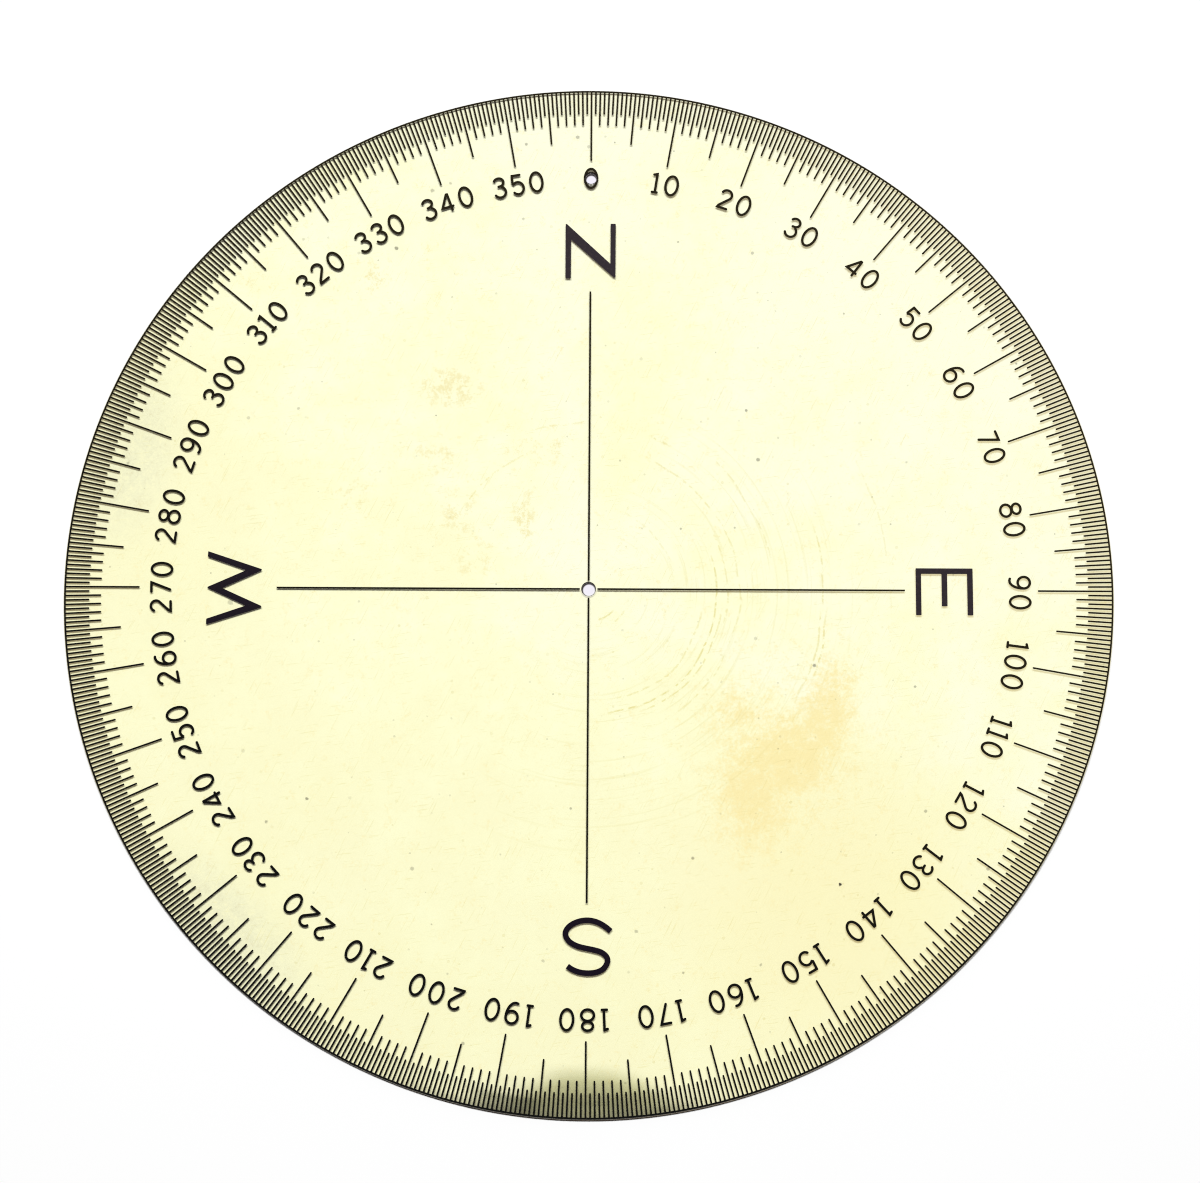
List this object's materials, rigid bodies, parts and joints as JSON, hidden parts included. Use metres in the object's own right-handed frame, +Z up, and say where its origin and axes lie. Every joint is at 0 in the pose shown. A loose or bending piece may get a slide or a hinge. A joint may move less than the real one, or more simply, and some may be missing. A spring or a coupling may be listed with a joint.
{
  "type": "full-circle protractor",
  "caption": "Flat transparent disc with a half-degree scale printed clockwise round its rim, a printed cross, a centre hole and a hole through the zero.",
  "frame": {"origin": "centre of the disc's underside, on the axis of the centre hole", "axes": "+Z up out of the printed face, +Y towards the scale's zero (north), +X towards ninety degrees (east)"},
  "size_m": [0.2032, 0.2032, 0.001],
  "materials": {
    "clear_sheet": "clear sheet plastic, yellowed with age, with fine scratches",
    "black_print": "satin black printing ink"
  },
  "bodies": {
    "root": {"disc": "clear_sheet", "rim_line": "black_print", "half_degree_marks": "black_print", "degree_marks": "black_print", "five_degree_marks": "black_print", "ten_degree_marks": "black_print", "north_line": "black_print", "east_line": "black_print", "south_line": "black_print", "west_line": "black_print"}
  },
  "joints": []
}
